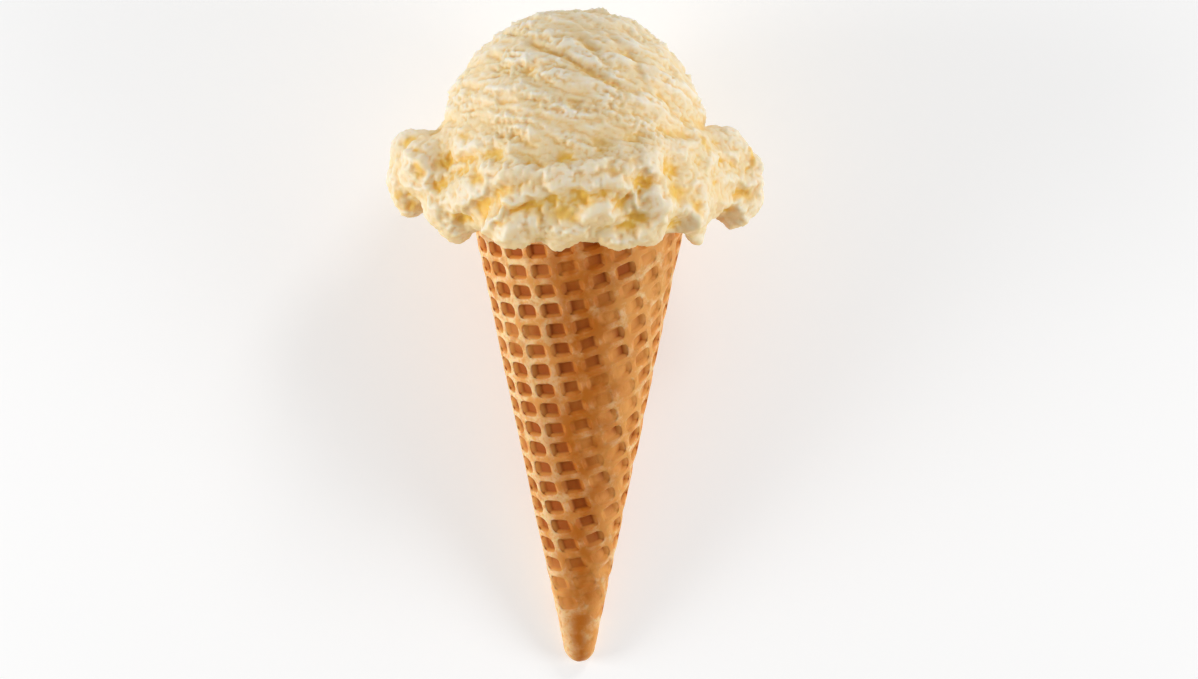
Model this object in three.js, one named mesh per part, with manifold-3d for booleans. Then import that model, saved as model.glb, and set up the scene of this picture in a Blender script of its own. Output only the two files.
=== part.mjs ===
// A scoop of hard ice cream in a rolled wafer cone, lying on its back.
//
// Millimetres, +Z up. The cone is modelled upright first, with the point of its tip at the
// origin, its axis along +Z and its shown side towards -Y. It is then laid down, so that it
// rests on its tip and on the back of the ice cream's skirt, and the shown side faces up.

import * as THREE from 'three';
import { mergeVertices } from 'three/addons/utils/BufferGeometryUtils.js';
import { ImprovedNoise } from 'three/addons/math/ImprovedNoise.js';
import Module from 'manifold-3d';

const wasm = await Module();
wasm.setup();

// ---- Driving dimensions -------------------------------------------------------------------

// Rolled wafer cone
const CONE_LENGTH = 118;
const RIM_RADIUS = 27.1;
const TIP_RADIUS = 3.1; // where the straight side would meet the end of the tip
const TIP_ROUNDING = 5.5; // length over which the tip rounds off
const WALL = 2.6;
const HOLLOW_START = 8; // height at which the inside of the cone begins
const FACETS = 33;

// The sheet's outer edge shows as a step down the cone, and the roll fades away from it.
const SEAM = { turn: -115, step: 1.6, width: 1.5, fade: 140 }; // turns in degrees

// Waffle grid, measured on the flat sheet from the point where the cone's straight sides meet
const COLUMN_PITCH = 6.9;
const ROW_PITCH = 5.3;
const GRID_SLANT = 4.4; // degrees
const GRID_START = { across: 15.22, along: 121.3 };
const GRID_DRIFT = { from: 85, over: 45, by: 3.9 }; // the columns lean over towards the tip
const POCKET = { width: 5.0, height: 3.5, depth: 1.4, floor: 0.74, edge: 0.8 };
const SHALLOW_SHARE = 0.35; // of the full depth, in the last pockets by the tip
const GRID_END = { fades: 34, stops: 24 }; // slant lengths where the pockets thin out and stop
const COVERED_HEIGHT = 114.5; // the ice cream lies against the wafer above this

// Scoop of ice cream
const BALL = { x: -1.3, height: 135.4, radius: 32.2, flatten: 0.98 };
const SKIRT = { height: 124.6, ring: 28.3, thickness: 10.2, reach: 50, depth: 20 };
const CREASE = { skirt: 1.6, neck: 1.8 }; // how wide the creases between lumps are filled
const STREAKS = { depth: 0.8, along: 0.07, across: 0.2 }; // depth in mm, the rest per mm
const CRAGS = { depth: 1.2, rate: 0.14 };
const FIT_GAP = 0.3; // left all round between the wafer and the ice cream
const NET_STEP = 2.8; // size of the cells that the ice cream's surface is netted with

// How it lies
const REST_TILT = 17.0; // degrees from the floor up to the axis
const FLOOR_DROP = 1.75; // from the point of the tip down to the floor

const RADIANS = Math.PI / 180;
const TAPER = (RIM_RADIUS - TIP_RADIUS) / CONE_LENGTH;
const HALF_ANGLE = Math.atan(TAPER);
const APEX_DROP = TIP_RADIUS / TAPER; // from the tip to where the straight sides meet
const FLATNESS = 1e-6; // planes whose unit normals agree to this are one plane
const SAME_POINT = 1e-4;

// ---- Solids -------------------------------------------------------------------------------

// Makes a solid of a closed geometry, with its doubled points merged.
function toSolid(geometry) {
  const bare = new THREE.BufferGeometry();
  bare.setAttribute('position', geometry.getAttribute('position').clone());
  bare.setIndex(geometry.getIndex());
  const merged = mergeVertices(bare, SAME_POINT);
  const corners = merged.getIndex().array;
  const faces = [];
  for (let i = 0; i < corners.length; i += 3) {
    const [a, b, c] = corners.slice(i, i + 3);
    if (a !== b && b !== c && c !== a) faces.push(a, b, c);
  }
  return new wasm.Manifold(new wasm.Mesh({
    numProp: 3,
    vertProperties: new Float32Array(merged.getAttribute('position').array),
    triVerts: new Uint32Array(faces),
  }));
}

// Drops the points that cuts leave inside flat faces and along straight edges. Each is drawn
// into a neighbour that lies in all of its planes, so the shape stays as it is.
function dropFlatPoints(points, corners) {
  const place = (i) => new THREE.Vector3().fromArray(points, 3 * i);
  const normalOf = (face) => {
    const [a, b, c] = face.map(place);
    return b.sub(a).cross(c.sub(a)).normalize();
  };
  const facesAt = new Map();
  for (let i = 0; i < corners.length; i += 3) {
    const face = [...corners.subarray(i, i + 3)];
    for (const point of face) facesAt.set(point, (facesAt.get(point) ?? new Set()).add(face));
  }
  const neighboursOf = (point) => {
    const corners = [...facesAt.get(point)].flat();
    return new Set(corners.filter((other) => other !== point));
  };
  const same = (a, b) => a.dot(b) > 1 - FLATNESS;

  // Moves a point onto its target, where that turns no face and folds none onto another.
  const drawInto = (point, target) => {
    const around = neighboursOf(target);
    if ([...neighboursOf(point)].filter((other) => around.has(other)).length !== 2) return false;
    const kept = [...facesAt.get(point)].filter((face) => !face.includes(target));
    const moved = kept.map((face) => face.map((corner) => (corner === point ? target : corner)));
    if (!moved.every((face, i) => same(normalOf(face), normalOf(kept[i])))) return false;
    for (const face of facesAt.get(point)) face.forEach((corner) => facesAt.get(corner).delete(face));
    for (const face of moved) face.forEach((corner) => facesAt.get(corner).add(face));
    facesAt.delete(point);
    return true;
  };

  for (const point of [...facesAt.keys()]) {
    const faces = [...facesAt.get(point)];
    const normals = faces.map(normalOf);
    const firstAlike = (normal) => normals.findIndex((other) => same(other, normal));
    const planes = normals.filter((normal, i) => firstAlike(normal) === i);
    const isFaceIn = (plane, other) => (face, i) => face.includes(other) && same(normals[i], plane);
    const inAll = (other) => planes.every((plane) => faces.some(isFaceIn(plane, other)));
    const targets = [...neighboursOf(point)].filter(inAll);
    if (planes.length < 3) targets.some((target) => drawInto(point, target));
  }
  return [...new Set([...facesAt.values()].flatMap((faces) => [...faces]))].flat();
}

function toGeometry(solid) {
  const { vertProperties, triVerts } = solid.getMesh();
  const geometry = new THREE.BufferGeometry();
  geometry.setAttribute('position', new THREE.BufferAttribute(vertProperties, 3));
  geometry.setIndex(dropFlatPoints(vertProperties, triVerts));
  geometry.computeVertexNormals();
  return geometry;
}

// Turns a profile of [radius, height] points round the axis. A turn of 0 is the shown side.
function turnProfile(profile) {
  const points = profile.map(([radius, height]) => new THREE.Vector2(radius, height));
  return new THREE.LatheGeometry(points, FACETS).rotateX(90 * RADIANS);
}

// ---- Wafer cone ---------------------------------------------------------------------------

function coneRadius(height) {
  const short = Math.max(0, 1 - height / TIP_ROUNDING);
  return (TIP_RADIUS + TAPER * height) * Math.sqrt(1 - short * short);
}

// How far the rolled sheet stands proud at a turn, as a share of the cone's radius there.
function rollShare(turn) {
  const past = 360 - THREE.MathUtils.euclideanModulo(turn - SEAM.turn, 360);
  const fade = THREE.MathUtils.smoothstep(SEAM.fade - past, 0, SEAM.fade);
  return fade * SEAM.step / RIM_RADIUS;
}

// The whole outer form, from a blunt tip up to a flat end, grown sideways and upwards by gap.
function coneForm(gap, top) {
  const profile = [[0, 0]];
  const arcSteps = 4;
  for (let i = 1; i <= arcSteps; i += 1) {
    const height = TIP_ROUNDING * (1 - Math.cos(i / arcSteps * Math.PI / 2));
    profile.push([coneRadius(height) + gap, height]);
  }
  profile.push([coneRadius(top) + gap, top], [0, top]);
  return rolled(turnProfile(profile), profile.length);
}

// Spaces the columns of a turned form unevenly, so that the last pair makes the sheet's edge.
function rolled(geometry, columnLength) {
  const place = geometry.getAttribute('position');
  for (let i = 0; i < place.count; i += 1) {
    const column = Math.floor(i / columnLength) % FACETS;
    const turn = SEAM.turn + column / (FACETS - 1) * (360 - SEAM.width);
    const radius = Math.hypot(place.getX(i), place.getY(i)) * (1 + rollShare(turn));
    place.setXY(i, radius * Math.sin(turn * RADIANS), -radius * Math.cos(turn * RADIANS));
  }
  return toSolid(geometry);
}

// The space inside the wafer, or what fills it when shrunk by gap.
function insideForm(gap, top) {
  const radiusAt = (height) => coneRadius(height) - WALL - gap;
  const bottom = HOLLOW_START + gap;
  const profile = [[0, bottom], [radiusAt(bottom), bottom], [radiusAt(top), top], [0, top]];
  return toSolid(turnProfile(profile));
}

// Where the flat sheet's point lies on the cone: its turn, its height and its slant length.
function onCone(across, along) {
  const slant = Math.hypot(across, along);
  const turn = -90 + Math.atan2(across, along) / Math.sin(HALF_ANGLE) / RADIANS;
  return { turn, slant, height: slant * Math.cos(HALF_ANGLE) - APEX_DROP };
}

// The block that is cut out for a pocket: its walls slope, y = 0 is level with the cone's
// surface, and it stands a little proud of it.
function pocketBlock(depth) {
  const proud = 0.7;
  const slope = (1 - POCKET.floor) / POCKET.depth;
  const block = new THREE.BoxGeometry(POCKET.width, depth + proud, POCKET.height);
  block.translate(0, (proud - depth) / 2, 0);
  const corner = block.getAttribute('position');
  for (let i = 0; i < corner.count; i += 1) {
    const spread = 1 + slope * corner.getY(i);
    corner.setX(i, corner.getX(i) * spread);
    corner.setZ(i, corner.getZ(i) * spread);
  }
  return block;
}

// Sets a pocket's block on the cone, square to the grid, which turns as the sheet is rolled.
function pocketTool(across, along) {
  const { turn, slant, height } = onCone(across, along);
  const strength = THREE.MathUtils.smoothstep(slant, GRID_END.stops, GRID_END.fades);
  const depth = POCKET.depth * THREE.MathUtils.lerp(SHALLOW_SHARE, 1, strength);
  const radial = new THREE.Vector3(Math.sin(turn * RADIANS), -Math.cos(turn * RADIANS), 0);
  const sideways = new THREE.Vector3(-radial.y, radial.x, 0);
  const up = new THREE.Vector3(0, 0, Math.cos(HALF_ANGLE)).addScaledVector(radial, Math.sin(HALF_ANGLE));
  const out = new THREE.Vector3().crossVectors(sideways, up);
  const square = new THREE.Matrix4().makeBasis(sideways, out, up.negate());
  const radius = coneRadius(height) * (1 + rollShare(turn));
  square.setPosition(radial.multiplyScalar(radius).setZ(height));
  const lean = Math.atan2(across, along) - GRID_SLANT * RADIANS;
  return toSolid(pocketBlock(depth).rotateY(lean).applyMatrix4(square));
}

// Every pocket of the waffle grid that is clear of the rim, the tip and the sheet's edge.
function pocketTools() {
  const tools = [];
  const reach = Math.ceil(GRID_START.along / ROW_PITCH) + 2;
  const slantCos = Math.cos(GRID_SLANT * RADIANS);
  const slantSin = Math.sin(GRID_SLANT * RADIANS);
  for (let column = -reach; column < reach; column += 1) {
    for (let row = -reach; row < reach; row += 1) {
      const right = column * COLUMN_PITCH;
      const down = row * ROW_PITCH;
      const along = GRID_START.along - slantSin * right - slantCos * down;
      const short = Math.max(0, (GRID_DRIFT.from - along) / GRID_DRIFT.over);
      const drift = GRID_DRIFT.by * short * short;
      const across = GRID_START.across + slantCos * right - slantSin * down + drift;
      const { turn, slant, height } = onCone(across, along);
      const halfTurn = (POCKET.width / 2 + POCKET.edge) / (slant * Math.sin(HALF_ANGLE)) / RADIANS;
      const onSheet = turn > SEAM.turn + halfTurn && turn < SEAM.turn + 360 - halfTurn;
      if (along > 0 && onSheet && slant > GRID_END.stops && height < COVERED_HEIGHT) {
        tools.push(pocketTool(across, along));
      }
    }
  }
  return tools;
}

function waferCone() {
  const wall = coneForm(0, CONE_LENGTH).subtract(insideForm(0, CONE_LENGTH + 1));
  return wall.subtract(wasm.Manifold.union(pocketTools()));
}

// ---- Ice cream ----------------------------------------------------------------------------

// Lumps of the skirt that show: [turn in degrees, distance from the axis, height, radius].
const LUMPS = {
  leftEar: [[-89, 41.3, 131, 6.2], [-87, 42.6, 124.5, 5.8], [-87, 41.6, 119.2, 4.8], [-75, 38, 129, 8],
    [-87, 38.6, 133.4, 4]],
  hangingLobe: [[-65, 37, 120.4, 5.4], [-63, 34.4, 116.2, 4.8], [-63, 33, 113.4, 3.2]],
  risingFold: [[-56, 36.8, 123.6, 4], [-46, 36.4, 127.4, 4.2], [-37, 36, 130.2, 4.4],
    [-27, 35.6, 131.8, 4.5]],
  levelFold: [[-17, 35.6, 131.6, 4.5], [-7, 35.8, 132.2, 4.4], [4, 35.6, 133, 4.4], [16, 35, 133.8, 4.4],
    [28, 34, 134.4, 4.6]],
  steepFold: [[-26, 37.6, 127.6, 3], [-31, 37.2, 123, 3.2], [-37, 36.4, 118.8, 3]],
  frontLobes: [[-27, 34.8, 119.1, 6.4], [-3, 33, 121, 5.8], [7, 36, 124.8, 4.6], [13, 37, 131, 3.6],
    [31, 36.6, 125.2, 5.2], [51, 34.6, 120.8, 5.6]],
  lowerEdge: [[-9, 32.4, 115.4, 3.8], [17, 32.4, 115.8, 4.4], [29, 34.2, 118.4, 5.6], [63, 32.6, 115, 3.4],
    [64, 32.2, 111.8, 2.4]],
  rightEar: [[90, 34.6, 131.2, 7.4], [90, 39.8, 125.2, 6], [90, 42.4, 128.8, 3.6], [90, 39, 118.4, 6.2],
    [90, 43.8, 119.2, 3], [88, 38, 114.6, 3.2], [79, 32, 125.5, 7.5]],
  restedOn: [[164, 34.6, 123.6, 8.2], [-165, 34.8, 124.2, 8.2], [179, 33.6, 126, 7.4]],
};
const HOLLOWS = {
  underFold: [[-45, 39.4, 121.2, 4.4], [-32, 40, 127.7, 2.6], [-21, 39.8, 125.6, 3.2],
    [-11, 39.6, 125.6, 4.8]],
  betweenLobes: [[22, 39.2, 123.8, 3.8], [16, 37.6, 120, 3.6], [41, 37.8, 119.4, 4]],
  besideEar: [[59, 39, 120.6, 5.2], [52, 39.2, 127, 3.4]],
};

// Rows of lumps that make the rest of the skirt, each uneven by up to these amounts.
const LUMP_ROWS = [
  { count: 19, reach: 34.0, height: 131.0, radius: 5.4 },
  { count: 16, reach: 34.4, height: 123.6, radius: 6.6 },
  { count: 18, reach: 31.6, height: 116.8, radius: 5.2 },
];
const UNEVEN = { turn: 6, reach: 2.2, height: 1.8, radius: 1.3 };
const ROWS_START = { right: 100, left: -98 }; // turns where the rows take over
const LUMP_SEED = 20;

// Gives the same run of numbers between 0 and 1 for a seed.
function seededNumbers(seed) {
  let state = seed;
  return () => {
    state = (state * 1664525 + 1013904223) % 4294967296;
    return state / 4294967296;
  };
}

function rowLumps() {
  const next = seededNumbers(LUMP_SEED);
  const about = (size, amount) => size + amount * (2 * next() - 1);
  const lumps = [];
  for (const { count, reach, height, radius } of LUMP_ROWS) {
    for (let i = 0; i < count; i += 1) {
      const lump = [about(360 * i / count - 180, UNEVEN.turn), about(reach, UNEVEN.reach),
        about(height, UNEVEN.height), about(radius, UNEVEN.radius)];
      if (lump[0] < ROWS_START.left || lump[0] > ROWS_START.right) lumps.push(lump);
    }
  }
  return lumps;
}

// The distance from a ball, below zero inside it, for each [turn, reach, height, radius].
function ballDistances(balls) {
  return balls.map(([turn, reach, height, radius]) => {
    const centreX = reach * Math.sin(turn * RADIANS);
    const centreY = -reach * Math.cos(turn * RADIANS);
    return (x, y, z) => Math.hypot(x - centreX, y - centreY, z - height) - radius;
  });
}

const fromLumps = ballDistances([...Object.values(LUMPS).flat(), ...rowLumps()]);
const fromHollows = ballDistances(Object.values(HOLLOWS).flat());
const noise = new ImprovedNoise();

// The lower of two distances, with the crease between them filled over a width.
function blendLow(a, b, width) {
  const near = Math.max(width - Math.abs(a - b), 0) / width;
  return Math.min(a, b) - near * near * width / 4;
}

// Distance to the ice cream's surface, below zero inside it.
function fromIceCream(x, y, z) {
  const fromBall = Math.hypot(x - BALL.x, y, (z - BALL.height) / BALL.flatten) - BALL.radius;
  const drag = z * STREAKS.across + x * STREAKS.along;
  const streak = STREAKS.depth * noise.noise(x * STREAKS.along, y * STREAKS.along, drag);
  const crag = CRAGS.depth * noise.noise(x * CRAGS.rate, y * CRAGS.rate, z * CRAGS.rate);
  let fromSkirt = Math.hypot(Math.hypot(x, y) - SKIRT.ring, z - SKIRT.height) - SKIRT.thickness;
  for (const distance of fromLumps) fromSkirt = blendLow(fromSkirt, distance(x, y, z), CREASE.skirt);
  for (const distance of fromHollows) fromSkirt = -blendLow(-fromSkirt, distance(x, y, z), CREASE.skirt);
  return blendLow(fromBall + streak, fromSkirt + crag, CREASE.neck);
}

// Fills cells where the inside touches itself only across a diagonal, so that the surface
// netted round it stays a single sheet.
function joinDiagonals(value, strides) {
  const filled = -0.05;
  let changed = true;
  while (changed) {
    changed = false;
    for (let start = 0; start < value.length - strides[0] - strides[1] - strides[2]; start += 1) {
      for (let axis = 0; axis < 3; axis += 1) {
        const [u, v] = [strides[axis], strides[(axis + 1) % 3]];
        for (const [a, b, c, d] of [[start, start + u, start + v, start + u + v],
          [start + u, start, start + u + v, start + v]]) {
          if (value[a] < 0 && value[d] < 0 && value[b] >= 0 && value[c] >= 0) {
            value[value[b] < value[c] ? b : c] = filled;
            changed = true;
          }
        }
      }
    }
  }
}

// Nets a closed surface round the space where distance(x, y, z) is below zero: one point in
// each cell that the surface passes through, and one four-sided face across each crossed edge.
function netSurface(distance, low, high, step) {
  const origin = low.toArray();
  const count = high.toArray().map((end, axis) => Math.ceil((end - origin[axis]) / step) + 1);
  const strides = [1, count[0], count[0] * count[1]];
  const value = new Float64Array(count[0] * count[1] * count[2]);
  const cellAt = (index) => [
    index % count[0], Math.floor(index / strides[1]) % count[1], Math.floor(index / strides[2])];
  for (let index = 0; index < value.length; index += 1) {
    value[index] = distance(...cellAt(index).map((c, axis) => origin[axis] + c * step));
  }
  joinDiagonals(value, strides);

  // Each point is the mean of the places where the surface crosses its cell's edges.
  const points = [];
  const pointOf = new Map();
  for (let index = 0; index < value.length; index += 1) {
    const cell = cellAt(index);
    if (cell.some((c, axis) => c > count[axis] - 2)) continue;
    const sum = [0, 0, 0];
    let crossings = 0;
    for (let axis = 0; axis < 3; axis += 1) {
      const [u, v] = [(axis + 1) % 3, (axis + 2) % 3];
      for (const [du, dv] of [[0, 0], [1, 0], [0, 1], [1, 1]]) {
        const start = index + du * strides[u] + dv * strides[v];
        const [a, b] = [value[start], value[start + strides[axis]]];
        if ((a < 0) !== (b < 0)) {
          sum[axis] += a / (a - b);
          sum[u] += du;
          sum[v] += dv;
          crossings += 1;
        }
      }
    }
    if (crossings > 0) {
      pointOf.set(index, points.length / 3);
      points.push(...cell.map((c, axis) => origin[axis] + (c + sum[axis] / crossings) * step));
    }
  }

  // Each face joins the points of the four cells round a crossed edge, by its short diagonal.
  const between = (p, q) => [0, 1, 2].map((axis) => points[3 * p + axis] - points[3 * q + axis]);
  const faces = [];
  for (const index of pointOf.keys()) {
    for (let axis = 0; axis < 3; axis += 1) {
      const [u, v] = [strides[(axis + 1) % 3], strides[(axis + 2) % 3]];
      const inside = value[index] < 0;
      if (inside === value[index + strides[axis]] < 0) continue;
      const round = [index, index - u, index - u - v, index - v].map((cell) => pointOf.get(cell));
      const [a, b, c, d] = inside ? round : round.reverse();
      const isShorter = Math.hypot(...between(a, c)) < Math.hypot(...between(b, d));
      faces.push(...(isShorter ? [a, b, c, a, c, d] : [b, c, d, b, d, a]));
    }
  }
  const geometry = new THREE.BufferGeometry();
  geometry.setAttribute('position', new THREE.Float32BufferAttribute(points, 3));
  geometry.setIndex(faces);
  return geometry;
}

function iceCream() {
  const low = new THREE.Vector3(-SKIRT.reach, -SKIRT.reach, SKIRT.height - SKIRT.depth);
  const high = new THREE.Vector3(SKIRT.reach, SKIRT.reach, BALL.height + BALL.radius + 2 * NET_STEP);
  const scoop = toSolid(netSurface(fromIceCream, low, high, NET_STEP));
  const stem = insideForm(FIT_GAP, SKIRT.height);
  return scoop.subtract(coneForm(FIT_GAP, CONE_LENGTH + FIT_GAP)).add(stem);
}

// ---- Laying it down -----------------------------------------------------------------------

// Cuts off what would lie below the floor, which leaves the small flats that it rests on.
function cutAtFloor(solid) {
  const size = 400;
  const below = new THREE.BoxGeometry(size, size, size);
  below.translate(0, 0, -size / 2 - FLOOR_DROP).rotateX((90 - REST_TILT) * RADIANS);
  return solid.subtract(toSolid(below));
}

function mesh(name, solid, material) {
  const geometry = toGeometry(cutAtFloor(solid));
  const piece = new THREE.Mesh(geometry, new THREE.MeshStandardMaterial(material));
  piece.name = name;
  return piece;
}

const upright = new THREE.Group();
upright.add(mesh('wafer_cone', waferCone(), { color: 0xd39a5c, roughness: 0.7, metalness: 0 }));
upright.add(mesh('ice_cream', iceCream(), { color: 0xf3e6c4, roughness: 0.55, metalness: 0 }));
upright.rotation.x = -(90 - REST_TILT) * RADIANS;

const cone = new THREE.Group();
cone.add(upright);
const box = new THREE.Box3().setFromObject(cone, true);
upright.position.set(-(box.min.x + box.max.x) / 2, -(box.min.y + box.max.y) / 2, -box.min.z);

export default cone;
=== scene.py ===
"""A scoop of ice cream in a rolled wafer cone, lying on its back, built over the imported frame.

Sizes are in metres. Both pieces are modelled with the cone upright, its tip at the origin, its
axis along +Z and its shown side towards -Y, and are then laid down onto the frame.
"""

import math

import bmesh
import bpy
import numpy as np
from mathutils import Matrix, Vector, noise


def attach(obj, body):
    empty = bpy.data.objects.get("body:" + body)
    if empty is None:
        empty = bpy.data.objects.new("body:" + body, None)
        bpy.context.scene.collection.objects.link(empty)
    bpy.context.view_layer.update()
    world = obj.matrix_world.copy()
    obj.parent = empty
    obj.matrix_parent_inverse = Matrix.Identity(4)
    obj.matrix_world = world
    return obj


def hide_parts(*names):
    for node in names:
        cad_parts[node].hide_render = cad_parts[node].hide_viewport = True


bl_info = {
    "name": "Scooped Ice Cream Cone",
    "version": (1, 0, 0),
    "blender": (4, 5, 0),
    "location": "View3D > Sidebar > Ice Cream Cone",
    "description": "Makes a rolled wafer cone and its scoop of ice cream, with a studio stage",
    "category": "Add Mesh",
}

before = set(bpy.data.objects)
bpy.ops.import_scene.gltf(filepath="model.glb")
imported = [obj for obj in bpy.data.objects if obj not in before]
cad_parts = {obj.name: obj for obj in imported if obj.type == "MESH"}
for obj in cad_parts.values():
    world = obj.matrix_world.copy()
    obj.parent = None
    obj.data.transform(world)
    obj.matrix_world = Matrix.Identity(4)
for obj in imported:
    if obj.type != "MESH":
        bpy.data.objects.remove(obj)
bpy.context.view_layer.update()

MM = 0.001
AWAY = Vector((31.7, 12.1, 5.3))  # a step to another part of the noise

# ---- How the cone lies ------------------------------------------------------------------------

REST_TILT = math.radians(17.0)  # from the floor up to the axis
TIP = min((v.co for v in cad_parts["wafer_cone"].data.vertices), key=lambda co: co.y).copy()
LAID = Matrix.Translation(TIP) @ Matrix.Rotation(REST_TILT - math.pi / 2, 4, "X")  # from upright

# ---- The waffle grid on the flat sheet, measured from where the cone's straight sides meet ----

GRID_SLANT = math.radians(4.4)
GRID_START = Vector((15.22 * MM, 121.3 * MM))  # across and along, to the middle of one cell
GRID_DRIFT = {"from": 85 * MM, "over": 45 * MM, "by": 3.9 * MM}  # bends across, by the tip
GRID_CELLS = {"left": 7, "right": 19, "above": 5, "below": 26}  # cells laid out round that one
GRID_MARGIN = 1.5  # columns kept past the sheet's edges until they are cut straight
GRID_END = {"fades": 56 * MM, "stops": 28 * MM}
SHALLOW_SHARE = 0.5  # of the pocket's depth, by the tip
COVERED_HEIGHT = 114.5 * MM  # the ice cream lies against the wafer above this
SLOPE_SHARES = (0.1, 0.9)  # of the pocket's depth: its slopes have their middles between these
GRID_LEVELS = 2  # times that the grid is subdivided
SHEET_TURN = math.pi / 2  # how far left of the front the middle of the flat sheet comes to lie
SEAM_TURN = math.radians(-115)
SEAM_WIDTH = math.radians(1.5)
SEAM_FADE = math.radians(140)  # over which the sheet's outer edge comes to stand proud
WORN = {  # the side where the pockets are shallow and patchy, but for a slit along one edge
    "turn": math.radians(55), "width": math.radians(38), "shifts": math.radians(14),
    "over": 30 * MM, "share": 0.85, "slit": 0.6, "slit_width": 0.25, "most": 0.92}
PATCHES = {"share": 0.5, "scale": 0.5}  # of shallower pockets, all over the cone
SPECKS = {"share": 0.7, "scale": 1.9}  # finer ones on the worn side
# The band down the middle is partly toasting and partly painted shade: the cone's middle, between the
# side lights, is darkened in its colour.
TOAST_AND_SHADE_BAND = {  # the browner band down the middle
    "turn": math.radians(3), "width": math.radians(24), "wander": math.radians(16),
    "size": 9 * MM, "widens": 0.55, "over": 60 * MM}
TANNED = {"turn": math.radians(48), "width": math.radians(48)}  # fewer pale patches
LOWER_PART = 108 * MM  # the worn side shifts and the toasted band widens below this height
CUT_CLOSENESS = 1e-8  # points this near a cut count as on it
END_CLOSENESS = 1e-7  # an edge this near the rim's or the tip's height lies in it
LOWEST_SHARE = 0.01  # of the tip's rounding, where the tip is cut and closed
TIP_TRIM = 0.9  # of the way out to the tip, nearer than which the flat sheet is cut away
MERGE_DISTANCE = 0.002 * MM  # points nearer than this after the cuts become one
SHARP_ANGLE = math.radians(50)  # between faces, above which the wafer's edges look sharp

# ---- Lumps of the skirt: [turn in degrees, reach, height, radius], the rest in millimetres ----

LUMPS = {
    "left_ear": [
        [-89, 41.3, 131, 6.2], [-87, 42.6, 124.5, 5.8], [-87, 41.6, 119.2, 4.8], [-75, 38, 129, 8],
        [-87, 38.6, 133.4, 4]],
    "hanging_lobe": [[-65, 37, 120.4, 5.4], [-63, 34.4, 116.2, 4.8], [-63, 33, 113.4, 3.2]],
    "rising_fold": [
        [-56, 36.8, 123.6, 4], [-46, 36.4, 127.4, 4.2], [-37, 36, 130.2, 4.4], [-27, 35.6, 131.8, 4.5]],
    "level_fold": [
        [-17, 35.6, 131.6, 4.5], [-7, 35.8, 132.2, 4.4], [4, 35.6, 133, 4.4], [16, 35, 133.8, 4.4],
        [28, 34, 134.4, 4.6]],
    "steep_fold": [[-26, 37.6, 127.6, 3], [-31, 37.2, 123, 3.2], [-37, 36.4, 118.8, 3]],
    "front_lobes": [
        [-27, 34.8, 119.1, 6.4], [-3, 33, 121, 5.8], [7, 36, 124.8, 4.6], [13, 37, 131, 3.6],
        [31, 36.6, 125.2, 5.2], [51, 34.6, 120.8, 5.6]],
    "lower_edge": [
        [-9, 32.4, 116, 3.8], [17, 32.4, 116.4, 4.4], [29, 34.2, 119, 5.6], [63, 32.6, 115.7, 3.4],
        [64, 32.2, 112.5, 2.4]],
    "right_ear": [
        [90, 34.6, 131.2, 7.4], [90, 39.8, 125.2, 6], [90, 42.4, 128.8, 3.6], [90, 39, 118.4, 6.2],
        [90, 43.8, 119.2, 3], [88, 38, 114.6, 3.2], [79, 32, 125.5, 7.5]],
    "rested_on": [[164, 34.6, 123.6, 8.2], [-165, 34.8, 124.2, 8.2], [179, 33.6, 126, 7.4]],
}
LUMP_ROWS = [  # count, reach, height and radius of the rows that make the rest of the skirt
    [19, 34.0, 131.0, 5.4], [16, 34.4, 123.6, 6.6], [18, 31.6, 116.8, 5.2]]
UNEVEN = {"turn": 6, "reach": 2.2, "height": 1.8, "radius": 1.3}  # the most they differ by
ROWS_START = {"right": 100, "left": -98}  # turns past which the rows aren't seen from the front
LUMP_SEED = 20


# ---- Settings ---------------------------------------------------------------------------------


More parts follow.
